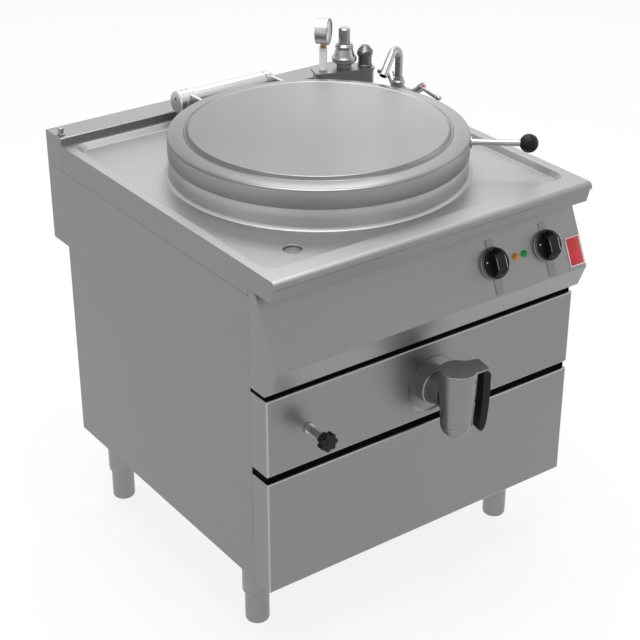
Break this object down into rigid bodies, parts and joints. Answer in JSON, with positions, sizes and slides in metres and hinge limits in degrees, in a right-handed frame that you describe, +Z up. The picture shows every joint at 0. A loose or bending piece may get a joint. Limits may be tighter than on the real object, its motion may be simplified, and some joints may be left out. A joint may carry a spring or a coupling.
{
  "type": "electric boiling pan",
  "caption": "Free-standing electric boiling pan: round jacketed vessel in a square steel cabinet with hinged lid, draw-off tap, level cock, water tap and pressure safety group.",
  "frame": {"origin": "on the floor, under the middle of the bounding box", "axes": "+X to the right seen from the front, +Y to the back, +Z up"},
  "size_m": [0.8, 0.9784, 1.0745],
  "materials": {
    "amber_lens": "glossy lens",
    "black_plastic": "satin black moulding",
    "black_rubber": "matte rubber",
    "brass": "machined brass",
    "cabinet_steel": "brushed stainless sheet",
    "copper_pipe": "drawn tube",
    "dial_white": "printed dial",
    "frame_black": "matte black paint",
    "gauge_glass": "clear glass",
    "green_lens": "glossy lens",
    "inner_steel": "mill finish",
    "lid_steel": "satin stainless pressing",
    "mineral_wool": "matte fibre",
    "polished_steel": "polished stainless",
    "scale_plate": "satin grey plate",
    "spring_steel": "drawn wire",
    "switch_grey": "moulded",
    "white_plastic": "white moulding",
    "worktop_steel": "satin stainless pressing"
  },
  "bodies": {
    "cabinet": {"bottom_plate": "inner_steel", "base_frame": "inner_steel", "left_side_panel": "cabinet_steel", "right_side_panel": "cabinet_steel", "rear_panel": "cabinet_steel", "service_box": "worktop_steel", "hob_top": "worktop_steel", "corner_stud": "polished_steel", "front_frame": "frame_black", "control_panel": "cabinet_steel", "middle_panel": "cabinet_steel", "lower_panel": "cabinet_steel", "leg_sleeves": "polished_steel", "feet": "polished_steel", "pan_vessel": "inner_steel", "pan_collar": "worktop_steel", "steam_jacket": "inner_steel", "insulation": "mineral_wool", "heating_elements": "inner_steel", "drain_pipe": "inner_steel", "jacket_pipes": "copper_pipe", "water_pipes": "copper_pipe", "cable_gland": "black_plastic", "contactor": "switch_grey", "rotary_switches": "switch_grey", "escutcheons": "scale_plate", "amber_lamp": "amber_lens", "green_lamp": "green_lens", "hinge_housing": "cabinet_steel", "hinge_bushes": "brass", "hinge_spring": "spring_steel", "safety_manifold": "cabinet_steel", "gauge_stem": "white_plastic", "gauge_case": "black_plastic", "gauge_dial": "dial_white", "gauge_lens": "gauge_glass", "safety_valve_body": "brass", "filler_neck": "polished_steel", "mixer_body": "polished_steel", "tap_neck": "polished_steel", "tap_body": "polished_steel", "cock_body": "polished_steel"},
    "lid": {"hinge_shaft": "polished_steel", "lid_hinge_arms": "cabinet_steel", "lid_shell": "lid_steel", "lid_inner_skin": "lid_steel", "lid_gasket": "black_rubber", "lid_handle_rod": "polished_steel", "lid_handle_ball": "black_plastic"},
    "left_knob": {"left_knob": "black_plastic"},
    "right_knob": {"right_knob": "black_plastic"},
    "draw_off_plug": {"tap_plug": "polished_steel", "tap_grip": "black_plastic"},
    "level_cock_spindle": {"star_knob": "black_plastic"},
    "water_spout": {"spout": "polished_steel"},
    "hot_water_lever": {"hot_lever": "polished_steel"},
    "cold_water_lever": {"cold_lever": "polished_steel"},
    "filler_plug": {"filler_cap": "polished_steel"},
    "relief_cap": {"safety_valve_cap": "polished_steel"},
    "pressure_needle": {"gauge_needle": "black_plastic"}
  },
  "joints": [
    {"name": "lid_hinge", "type": "hinge", "parent": "cabinet", "child": "lid", "pos_m": [0, 0.3802, 0.953], "axis": [-1, 0, 0], "range_deg": [0, 85]},
    {"name": "left_knob_turn", "type": "hinge", "parent": "cabinet", "child": "left_knob", "pos_m": [0.16, -0.3766, 0.77062], "axis": [0, 0.9089, -0.4171], "range_deg": [0, 270]},
    {"name": "right_knob_turn", "type": "hinge", "parent": "cabinet", "child": "right_knob", "pos_m": [0.306, -0.3766, 0.77062], "axis": [0, 0.9089, -0.4171], "range_deg": [0, 270]},
    {"name": "draw_off_turn", "type": "hinge", "parent": "cabinet", "child": "draw_off_plug", "pos_m": [0.013, -0.4498, 0.535], "axis": [0, 0, -1], "range_deg": [0, 90]},
    {"name": "level_cock_turn", "type": "hinge", "parent": "cabinet", "child": "level_cock_spindle", "pos_m": [-0.301, -0.4328, 0.541], "axis": [0, -1, 0], "range_deg": [0, 360]},
    {"name": "spout_swing", "type": "hinge", "parent": "cabinet", "child": "water_spout", "pos_m": [0.372, 0.2112, 0.95], "axis": [0, 0, 1], "range_deg": [-60, 30]},
    {"name": "hot_lever_turn", "type": "hinge", "parent": "cabinet", "child": "hot_water_lever", "pos_m": [0.38198, 0.16425, 0.932], "axis": [-0.1569, 0.7382, -0.6561], "range_deg": [0, 90]},
    {"name": "cold_lever_turn", "type": "hinge", "parent": "cabinet", "child": "cold_water_lever", "pos_m": [0.37574, 0.22881, 0.932], "axis": [0.1569, 0.7382, 0.6561], "range_deg": [0, 90]},
    {"name": "filler_cap_turn", "type": "hinge", "parent": "cabinet", "child": "filler_plug", "pos_m": [0.375, 0.34407, 0.975], "axis": [0, 0, 1], "range_deg": [0, 360]},
    {"name": "relief_cap_lift", "type": "slide", "parent": "cabinet", "child": "relief_cap", "axis": [0, 0, 1], "range_m": [0, 0.003], "stiffness_N_per_m": 2000},
    {"name": "needle_turn", "type": "hinge", "parent": "cabinet", "child": "pressure_needle", "pos_m": [0.276, 0.3772, 1.043], "axis": [-0.6428, 0.766, 0], "range_deg": [0, 270], "stiffness_Nm_per_rad": 0.0005}
  ]
}
